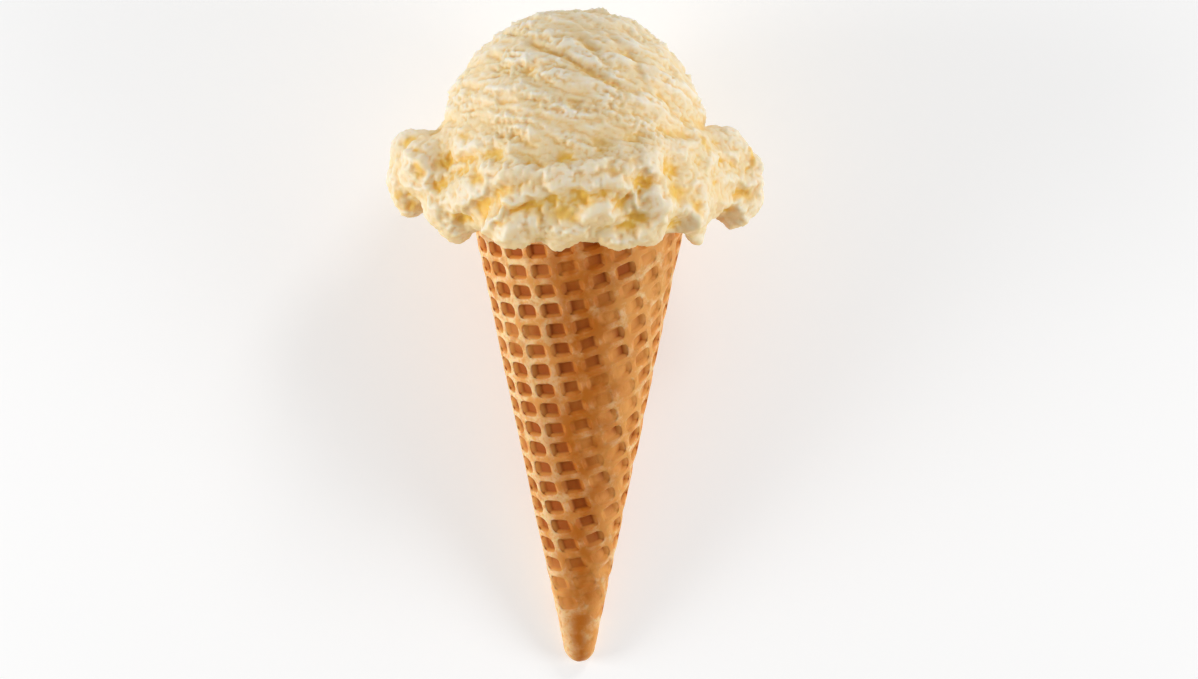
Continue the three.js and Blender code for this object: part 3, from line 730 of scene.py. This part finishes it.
def row_lumps():
    """The rows of lumps that make the skirt where it doesn't show from the front."""
    numbers = seeded_numbers(LUMP_SEED)

    def about(size, amount):
        return size + amount * (2 * next(numbers) - 1)

    lumps = []
    for count, reach, height, radius in LUMP_ROWS:
        for i in range(count):
            lump = [
                about(360 * i / count - 180, UNEVEN["turn"]), about(reach, UNEVEN["reach"]),
                about(height, UNEVEN["height"]), about(radius, UNEVEN["radius"])]
            if lump[0] < ROWS_START["left"] or lump[0] > ROWS_START["right"]:
                lumps.append(lump)
    return lumps


def add_balls(name, balls):
    """Adds a ball for each [turn, reach, height, radius], joined into one object."""
    bpy.ops.object.select_all(action="DESELECT")
    bpy.ops.mesh.primitive_ico_sphere_add(subdivisions=LUMP_SUBDIVISIONS, radius=MM)
    pattern = bpy.context.object
    copies = []
    for turn, reach, height, radius in balls:
        ball = pattern.copy()
        ball.data = pattern.data.copy()
        bpy.context.collection.objects.link(ball)
        angle = math.radians(turn)
        ball.location = Vector((reach * math.sin(angle), -reach * math.cos(angle), height)) * MM
        ball.scale = (radius, radius, radius)
        copies.append(ball)
    bpy.data.objects.remove(pattern)
    balls = join(copies)
    balls.name = name
    apply_place(balls)
    return balls


def combine(piece, other, operation):
    """Joins the other object to the piece, or cuts it away, and removes it."""
    apply_modifier(piece, "BOOLEAN", operation=operation, object=other, solver="MANIFOLD")
    bpy.data.objects.remove(other)


def fuse(piece, voxel_size, rounds):
    """Joins the newest object to the piece, as one closed surface that is smoothed a little."""
    piece = join([piece, bpy.context.object])
    apply_place(piece)
    apply_modifier(piece, "REMESH", mode="VOXEL", voxel_size=voxel_size)
    apply_modifier(piece, "SMOOTH", factor=FUSE_FACTOR, iterations=rounds)
    return piece


def add_form(s):
    """Fuses the ball, the ring and the lumps into one closed surface."""
    lumps = [lump for group in LUMPS.values() for lump in group] + APRON + row_lumps()
    skirt = add_balls("scooped_ice_cream", lumps)
    bpy.ops.object.select_all(action="DESELECT")
    bpy.ops.mesh.primitive_torus_add(
        major_radius=s.skirt_ring, minor_radius=s.skirt_thickness,
        location=(0, 0, s.skirt_height), **RING_GRID)
    skirt = fuse(skirt, s.form_size, FORM_SMOOTHING)
    bpy.ops.object.select_all(action="DESELECT")
    bpy.ops.mesh.primitive_uv_sphere_add(
        radius=s.ball_radius, location=(s.ball_offset, 0, s.ball_height),
        scale=(1, 1, s.ball_flatten), **BALL_GRID)
    return fuse(skirt, s.detail_size, DETAIL_SMOOTHING)


def on_ball(turn, rise):
    """The direction from the ball's middle, for a turn and a rise in degrees."""
    turn, rise = math.radians(turn), math.radians(rise)
    return np.array((
        math.sin(turn) * math.cos(rise), -math.cos(turn) * math.cos(rise), math.sin(rise)))


def gap_to_line(points, stops):
    """How far each point is from the line through the stops."""
    nearest = np.full(len(points), np.inf)
    for start, end in zip(stops, stops[1:]):
        along = end - start
        share = np.clip((points - start) @ along / (along @ along), 0, 1)
        away = np.linalg.norm(points - start - share[:, None] * along, axis=1)
        nearest = np.minimum(nearest, away)
    return nearest


def mark_relief(directions, s):
    """The valleys that the scoop dragged over the ball, and the lips beside them."""
    relief = np.zeros(len(directions))
    for stops, width, depth in DRAG_MARKS:
        gap = gap_to_line(directions, [on_ball(*stop) for stop in stops])
        gap = (gap * s.ball_radius / (width * MM)) ** 2
        relief += depth * MM * (LIP_SHARE * gap - 1) * np.exp(-gap)
    return relief


def front_place(scoop, across, height):
    """The place on the scoop that the front view shows there, in millimetres from the tip."""
    forward = Vector((0, math.cos(FRONT_TILT), -math.sin(FRONT_TILT)))
    spot = Vector((across, 0, height)) * MM
    found, place, _, _ = scoop.ray_cast(spot - CAST_FROM * forward, forward)
    if not found:
        _, place, _, _ = scoop.closest_point_on_mesh(spot)
    return np.array(place)


def fold_relief(scoop, points, s):
    """How far the skirt's raised folds stand out at each point."""
    relief = np.zeros(len(points))
    for stops, width, rise in FOLDS:
        gap = gap_to_line(points, [front_place(scoop, *stop) for stop in stops]) / (width * MM)
        relief = np.maximum(relief, rise * s.fold_depth * np.exp(-(gap**2)))
    return relief


def hollow_relief(scoop, points, s):
    """How deep each point lies in the skirt's hollows, as a depth and as a share of it."""
    depth, share = np.zeros(len(points)), np.zeros(len(points))
    for across, height, half_width, half_height, most in HOLLOWS:
        away = (points - front_place(scoop, across, height)) / MM
        level = np.hypot(away[:, 0], away[:, 1]) / (HOLLOW_SPREAD * half_width)
        dip = np.exp(-(level**2) - (away[:, 2] / (HOLLOW_SPREAD * half_height)) ** 2)
        depth = np.maximum(depth, dip * most * s.hollow_depth)
        share = np.maximum(share, dip * min(most, 1))
    return depth, share


def crumb_relief(place, finer_size):
    """How far the crumbs and the finer crumbs stand out at a place."""
    finer = noise.noise(place / finer_size)
    return noise.noise(place / CRUMBS["size"]) + CRUMBS["finer_share"] * finer


def streak_relief(place):
    """How far the dragged surface of the ball stands out at a place, as a share of its depth."""
    over = place.dot(DRAG_AXIS)
    spin = place - over * DRAG_AXIS
    spin /= max(spin.length, DRAG_POLE)

    def dragged(turns, width, shift=Vector()):
        """Noise that is drawn out round the axis, wherever along it the place has swayed to."""
        return noise.noise(spin * turns + DRAG_AXIS * over / width + shift)

    over += STREAK_SWAY["by"] * dragged(STREAK_SWAY["turns"], STREAK_SWAY["width"])
    torn = smoothstep(dragged(TORN["turns"], TORN["width"], AWAY), TORN["from"], TORN["to"])
    relief = 0
    for share, torn_share, turns, width in STREAKS:
        relief += (share + torn_share * torn) * dragged(turns, width)
    crumb_share = BALL_CRUMBS["share"] + BALL_CRUMBS["torn_share"] * torn
    return relief + crumb_share * crumb_relief(place, CRUMBS["on_ball"])


def curd_relief(place, loose):
    """How far the torn skirt stands out at a place, as a share of its depth."""
    size, share = CURD_SIZES, CURD_SHARES
    swayed = place + CURD_SWAY * wander(place / size["sway"])
    relief = share["lump"] * noise.noise(swayed / size["lump"] + AWAY)
    fold = FOLD_LEVEL - abs(noise.noise(swayed / size["fold"]))
    relief += (share["fold"] + share["loose_fold"] * loose) * fold
    relief += share["bit"] * noise.noise(swayed / size["bit"])
    return relief + share["crumb"] * crumb_relief(place, CRUMBS["on_skirt"])


def roughen(scoop, s):
    """Drags streaks over the ball, and folds and breaks up the skirt."""
    points = points_of(scoop)
    normals = normals_of(scoop)
    middle = np.array((s.ball_offset, 0, s.ball_height))
    from_middle = (points - middle) / (1, 1, s.ball_flatten)
    distance = np.linalg.norm(from_middle, axis=1)
    skirt_share = smoothstep(distance - s.ball_radius, *SKIRT_STARTS)
    marks = mark_relief(from_middle / distance[:, None], s)
    ragged = points + FRAYED["by"] * np.array(
        [wander(Vector(point) / FRAYED["size"]) for point in points])
    hollows, share = hollow_relief(scoop, ragged, s)
    relief = (1 - skirt_share) * marks + fold_relief(scoop, ragged, s) - hollows
    loose = smoothstep(points[:, 1], *LOOSE_FROM)
    for i, (offset, skirt) in enumerate(zip(from_middle, skirt_share)):
        place = Vector(offset) / MM
        streak = streak_relief(place) * s.streak_depth if skirt < 1 else 0
        curd = curd_relief(place, loose[i]) * s.curd_depth if skirt > 0 else 0
        relief[i] += streak + (curd - streak) * skirt
    set_points(scoop, points + normals * relief[:, None])
    # The hollows' share is where the material paints shade.
    store(scoop, "hollow", share)
    store(scoop, "torn", skirt_share)


def smoothed(points, edges, rounds):
    """Draws each point towards its neighbours' mean, so many times over."""
    count = np.bincount(edges.ravel(), minlength=len(points))[:, None]
    points = points.copy()
    for _ in range(rounds):
        total = np.zeros_like(points)
        for axis in range(3):
            total[:, axis] += np.bincount(edges[:, 0], points[edges[:, 1], axis], len(points))
            total[:, axis] += np.bincount(edges[:, 1], points[edges[:, 0], axis], len(points))
        points += (total / np.maximum(count, 1) - points) * SMOOTHING_STEP
    return points


def store_crevices(scoop):
    """Keeps how deep each point lies in its crevice, fine and broad, and how far it faces down, for the
    material's painted shade, highlights and bounce light.
    """
    points = points_of(scoop)
    normals = normals_of(scoop)
    edges = np.empty(2 * len(scoop.data.edges), dtype=np.int32)
    scoop.data.edges.foreach_get("vertices", edges)
    edges = edges.reshape(-1, 2)
    for name, rounds, depth in CREVICES:
        sunk = np.einsum("ij,ij->i", smoothed(points, edges, rounds) - points, normals)
        store(scoop, name, np.clip(0.5 + 0.5 * sunk / depth, 0, 1))
    # Faces that face down, where the material paints bounce light from the wafer and shade.
    store(scoop, "sheltered", np.clip(-normals[:, 2], 0, 1))


def fit_to_wafer(scoop, s, wafer):
    """Cuts the scoop to the wafer that stands in it, and adds the stem that fills the wafer."""
    cone = ConeShape(wafer)
    gap = s.fit_gap

    def add_cone(bottom, top, shift, name):
        low, high = (wafer.tip_radius + cone.taper * height + shift for height in (bottom, top))
        bpy.ops.object.select_all(action="DESELECT")
        bpy.ops.mesh.primitive_cone_add(
            vertices=STEM_SIDES, radius1=low, radius2=high, depth=top - bottom,
            location=(0, 0, (bottom + top) / 2))
        bpy.context.object.name = name
        apply_place(bpy.context.object)
        return bpy.context.object

    combine(scoop, add_cone(SOCKET_BOTTOM, wafer.length + gap, gap, "socket"), "DIFFERENCE")
    stem = add_cone(wafer.hollow_start + gap, s.skirt_height, -wafer.wall - gap, "stem")
    combine(scoop, stem, "UNION")


class AddScoop(bpy.types.Operator):
    """Makes the scoop of ice cream with its ragged skirt"""

    bl_idname = "cone.add_scoop"
    bl_label = "Add Scoop"

    def execute(self, context):
        s = context.scene.scoop_settings
        scoop = add_form(s)
        roughen(scoop, s)
        fit_to_wafer(scoop, s, context.scene.wafer_settings)
        store_crevices(scoop)
        lay_down(scoop)
        select_only(scoop)
        bpy.ops.object.shade_smooth()
        scoop.data.materials.clear()
        scoop.data.materials.append(hard_ice_cream(s))
        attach(scoop, "root")
        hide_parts("ice_cream")
        return {"FINISHED"}


# ---- Materials --------------------------------------------------------------------------------


COLOUR_MIX = {"share": 0, "low": 6, "high": 7, "result": 2}  # a Mix node's sockets for colours
GRAIN_DEPTH = 0.2 * MM


class NodeBuilder:
    """Adds and links nodes of one tree."""

    def __init__(self, tree):
        self.tree = tree

    def feed(self, node, inputs):
        """Gives a node's inputs their numbers and colours, or links them to other sockets."""
        for name, value in inputs.items():
            if isinstance(value, bpy.types.NodeSocket):
                self.tree.links.new(value, node.inputs[name])
            else:
                node.inputs[name].default_value = value

    def add(self, kind, inputs=None, **settings):
        """Adds a node with its settings and inputs."""
        node = self.tree.nodes.new(kind)
        for name, value in settings.items():
            setattr(node, name, value)
        self.feed(node, inputs or {})
        return node

    def place(self):
        """The place on the piece."""
        return self.add("ShaderNodeTexCoord").outputs["Object"]

    def attribute(self, name):
        """What the piece keeps for each of its points under this name."""
        return self.add("ShaderNodeAttribute", attribute_name=name).outputs["Fac"]

    def noise(self, place, scale, detail, roughness=0.5):
        """Noise with about so many lumps in a metre."""
        node = self.add("ShaderNodeTexNoise", {
            "Vector": place, "Scale": scale, "Detail": detail, "Roughness": roughness})
        return node.outputs["Fac"]

    def mix(self, share, low, high):
        """Mixes two colours, each a plain one or another node's."""
        low, high = (
            colour if isinstance(colour, bpy.types.NodeSocket) else (*colour, 1)
            for colour in (low, high))
        at = COLOUR_MIX
        node = self.add("ShaderNodeMix", data_type="RGBA")
        self.feed(node, {at["share"]: share, at["low"]: low, at["high"]: high})
        return node.outputs[at["result"]]

    def ramp(self, value, low, high, to_low=0.0, to_high=1.0):
        """Maps a value from one range to another, smoothly and clamped."""
        node = self.add("ShaderNodeMapRange", interpolation_type="SMOOTHSTEP", inputs={
            "Value": value, "From Min": low, "From Max": high, "To Min": to_low, "To Max": to_high})
        return node.outputs["Result"]

    def maths(self, operation, result, *others):
        """Works through numbers with one operation, such as a product or the highest."""
        for other in others:
            node = self.add("ShaderNodeMath", operation=operation)
            self.feed(node, {0: result, 1: other})
            result = node.outputs[0]
        return result

    def bump(self, height, strength):
        """The normal of a surface whose grain stands out by this height."""
        node = self.add("ShaderNodeBump", {
            "Height": height, "Strength": strength, "Distance": GRAIN_DEPTH})
        return node.outputs["Normal"]


def fine_grain():
    """Fine grain and pores, which both the wafer and the ice cream have in their own sizes."""
    group = bpy.data.node_groups.get("fine_grain")
    if group:
        return group
    group = bpy.data.node_groups.new("fine_grain", "ShaderNodeTree")
    for name, default in (("Grain Scale", 900.0), ("Pore Scale", 500.0), ("Pores", 0.5)):
        socket = group.interface.new_socket(name, in_out="INPUT", socket_type="NodeSocketFloat")
        socket.default_value = default
    for name in ("Height", "Speckle"):
        group.interface.new_socket(name, in_out="OUTPUT", socket_type="NodeSocketFloat")
    build = NodeBuilder(group)
    given = build.add("NodeGroupInput").outputs
    place = build.place()
    grain = build.noise(place, given["Grain Scale"], 4.0, 0.6)
    pores = build.add("ShaderNodeTexVoronoi", {"Vector": place, "Scale": given["Pore Scale"]})
    pits = build.maths(
        "MULTIPLY", build.ramp(pores.outputs["Distance"], 0.05, 0.35), given["Pores"])
    build.add("NodeGroupOutput", {
        "Height": build.maths("ADD", grain, pits),
        "Speckle": build.noise(place, given["Pore Scale"], 3.0)})
    return group


def start_material(name):
    """A new material with its tree's builder and its shader."""
    material = bpy.data.materials.new(name)
    material.use_nodes = True
    build = NodeBuilder(material.node_tree)
    return material, build, material.node_tree.nodes["Principled BSDF"]


def baked_wafer(s):
    """Dry baked wafer: pale ribs, pockets browned and darkened with painted shade, and a band down the
    middle that is partly toasting and partly painted shade.
    """
    material, build, shader = start_material("baked_wafer")
    place = build.place()
    sunk = build.attribute("sunk")
    uneven = build.noise(place, 260.0, 4.0)
    grain = build.add("ShaderNodeGroup", node_tree=fine_grain(), inputs={
        "Grain Scale": 1400, "Pore Scale": 800, "Pores": 0.6})

    tanned = build.maths("MULTIPLY", build.attribute("tanned"), 0.12)
    patches = build.maths("ADD", build.noise(place, 210.0, 5.0, 0.65), tanned)
    speckle = build.ramp(grain.outputs["Speckle"], 0.5, 0.68, 0.0, 0.8)
    # Painted shade in part: the pockets' walls take the darker baked colour rather than the pale one.
    walls = build.ramp(sunk, 0.0, 0.16)
    baked = build.maths("MAXIMUM", build.ramp(patches, 0.43, 0.63), speckle, walls)
    ribs = build.mix(baked, s.pale_colour, s.baked_colour)

    # Painted shade, with some toasting: the band darkens the colour down the middle, between the side
    # lights.
    toasted = build.attribute("toasted")
    band = build.maths("MULTIPLY", toasted, build.ramp(uneven, 0.3, 0.6, 0.55, 1.0))
    scorched = build.ramp(uneven, 0.52, 0.7, 0.0, 0.45)
    # Partly browning, partly painted shade: the lower walls of the pockets darken towards the band's
    # brown.
    low_walls_brown_and_shade = build.ramp(sunk, 0.1, 0.5, 0.0, 0.45)
    browned_and_shaded = build.mix(
        build.maths("MAXIMUM", band, scorched, low_walls_brown_and_shade), ribs, s.toast_and_shade_colour)

    # Painted shade, with some real browning: the pockets' floors darken to the pocket colour.
    build.feed(shader, {
        "Base Color": build.mix(build.ramp(sunk, 0.45, 0.95), browned_and_shaded, s.pocket_brown_and_shade_colour),
        "Normal": build.bump(grain.outputs["Height"], 0.35),
        "Roughness": 0.55,
        "Specular IOR Level": 0.15,
        "Subsurface Weight": 0.4,
        "Subsurface Radius": (1.0, 0.35, 0.1),
        "Subsurface Scale": 1 * MM})
    return material


def hard_ice_cream(s):
    """Frozen cream, with painted highlights that make it nearly white where it stands out, and painted
    shade and bounce light that make it warm yellow in its crevices, hollows and undersides.
    """
    material, build, shader = start_material("hard_ice_cream")
    crevice = build.attribute("crevice")
    sheltered = build.attribute("sheltered")
    torn = build.attribute("torn")
    grain = build.add("ShaderNodeGroup", node_tree=fine_grain(), inputs={
        "Grain Scale": 1100, "Pore Scale": 600, "Pores": 0.4})

    # Painted highlight: whiter on the crests, less on faces that face down and on the skirt.
    crest = build.maths(
        "MULTIPLY", build.ramp(crevice, 0.5, 0.2), build.ramp(sheltered, 0.0, 0.7, 1.0, 0.15),
        build.ramp(torn, 0.0, 1.0, 1.0, 0.7))
    # Painted shade: crevices, hollows and small pits turn to the crevice colour.
    deep = build.maths(
        "MULTIPLY", build.ramp(crevice, 0.5, 0.76), build.ramp(torn, 0.0, 1.0, 0.65, 1.0))
    hollow = build.ramp(build.attribute("hollow"), 0.1, 1.0, 0.0, 0.9)
    pitted = build.ramp(build.attribute("pitted"), 0.5, 1.0, 0.0, 0.35)
    patches = build.ramp(build.noise(build.place(), 130.0, 4.0), 0.5, 0.75, 0.0, 0.25)
    # Painted bounce light and shade: faces that face down take a warmer colour.
    underside_bounce_and_shade = build.maths("MULTIPLY", sheltered, 0.45)
    # Mixes painted shade and bounce light with patches of the cream's own warmer tone.
    warm = build.maths("MAXIMUM", deep, hollow, pitted, patches, underside_bounce_and_shade)

    cream = build.mix(crest, s.cream_colour, s.crest_highlight_colour)
    build.feed(shader, {
        "Base Color": build.mix(warm, cream, s.crevice_shade_colour),
        "Normal": build.bump(grain.outputs["Height"], 0.5),
        "Roughness": 0.42,
        "Subsurface Weight": 0.7,
        "Subsurface Radius": (1.0, 0.8, 0.5),
        "Subsurface Scale": 2.5 * MM})
    return material


def plain_floor(s):
    """A matt pale floor."""
    material, build, shader = start_material("plain_floor")
    build.feed(shader, {
        "Base Color": (*s.floor_colour, 1),
        "Roughness": 0.9,
        "Specular IOR Level": 0.1,
        "Emission Color": (1, 1, 1, 1),
        "Emission Strength": s.floor_glow})
    return material


# ---- Stage ------------------------------------------------------------------------------------


LIGHTS = (  # each square light, where it stands, its size and the setting that gives its power
    ("left_light", (-0.9, -0.12, 0.36), 0.45, "left_power"),
    ("right_light", (0.88, -0.2, 0.36), 0.45, "right_power"),
    ("key_light", (0.5, 0.8, 0.8), 0.3, "key_power"))
LIGHTS_AIM = Vector((0, 0, 0.03))
CAMERA_AIM = LAID @ Vector((0.004925, 0, 0.0835))
FLOOR_SIZE = 8


def add_light(name, place, size, power):
    """Adds a square soft light that points at the cone."""
    bpy.ops.object.select_all(action="DESELECT")
    bpy.ops.object.light_add(type="AREA", location=place)
    light = bpy.context.object
    light.name = name
    light.data.size = size
    light.data.energy = power
    light.rotation_euler = (LIGHTS_AIM - Vector(place)).to_track_quat("-Z", "Y").to_euler()
    light.visible_camera = False


def add_camera(s):
    """Adds the camera, which looks down from nearer the scoop than square to the cone's axis."""
    lean = s.camera_tilt - REST_TILT
    back = Vector((0, math.sin(lean), math.cos(lean)))
    side = Vector((1, 0, 0))
    turned = Matrix((side, back.cross(side), back)).transposed()
    bpy.ops.object.camera_add(location=CAMERA_AIM + back * s.camera_distance)
    camera = bpy.context.object
    camera.name = "camera"
    camera.rotation_euler = turned.to_euler()
    camera.data.lens = camera.data.sensor_width * s.camera_distance / s.frame_width
    bpy.context.scene.camera = camera


def light_room(s):
    """Adds an even white light from all round."""
    world = bpy.data.worlds.new("studio")
    world.use_nodes = True
    background = world.node_tree.nodes["Background"].inputs
    background["Color"].default_value = (1, 1, 1, 1)
    background["Strength"].default_value = s.room_light
    bpy.context.scene.world = world
    bpy.context.scene.view_settings.view_transform = "Standard"


class SetStage(bpy.types.Operator):
    """Adds the floor, the studio lights and the camera"""

    bl_idname = "cone.set_stage"
    bl_label = "Set Stage"

    def execute(self, context):
        s = context.scene.stage_settings
        bpy.ops.object.select_all(action="DESELECT")
        bpy.ops.mesh.primitive_plane_add(size=FLOOR_SIZE)
        floor = context.object
        floor.name = "studio_floor"
        floor.data.materials.append(plain_floor(s))
        for name, place, size, power in LIGHTS:
            add_light(name, place, size, getattr(s, power))
        light_room(s)
        add_camera(s)
        return {"FINISHED"}


# ---- Panel and registration -------------------------------------------------------------------


class ConePanel(bpy.types.Panel):
    """Lists the settings and the steps"""

    bl_idname = "VIEW3D_PT_ice_cream_cone"
    bl_label = "Ice Cream Cone"
    bl_space_type = "VIEW_3D"
    bl_region_type = "UI"
    bl_category = "Ice Cream Cone"

    def draw(self, context):
        for step, name in STEPS:
            settings = getattr(context.scene, name)
            box = self.layout.box()
            for setting in settings.__annotations__:
                box.prop(settings, setting)
            box.operator(step.bl_idname)


STEPS = (
    (AddWafer, "wafer_settings"), (AddScoop, "scoop_settings"), (SetStage, "stage_settings"))
SETTINGS = {
    "wafer_settings": WaferSettings, "scoop_settings": ScoopSettings, "stage_settings": StageSettings}
CLASSES = (*SETTINGS.values(), AddWafer, AddScoop, SetStage, ConePanel)


def register():
    """Adds the classes, and the settings to the scene."""
    for kind in CLASSES:
        bpy.utils.register_class(kind)
    for name, kind in SETTINGS.items():
        setattr(bpy.types.Scene, name, bpy.props.PointerProperty(type=kind))


def unregister():
    """Takes the settings and the classes away again."""
    for name in SETTINGS:
        delattr(bpy.types.Scene, name)
    for kind in reversed(CLASSES):
        bpy.utils.unregister_class(kind)


def main():
    """Makes every piece and the stage."""
    register()
    bpy.ops.cone.add_wafer()
    bpy.ops.cone.add_scoop()
    bpy.ops.cone.set_stage()


if __name__ == "__main__":
    main()
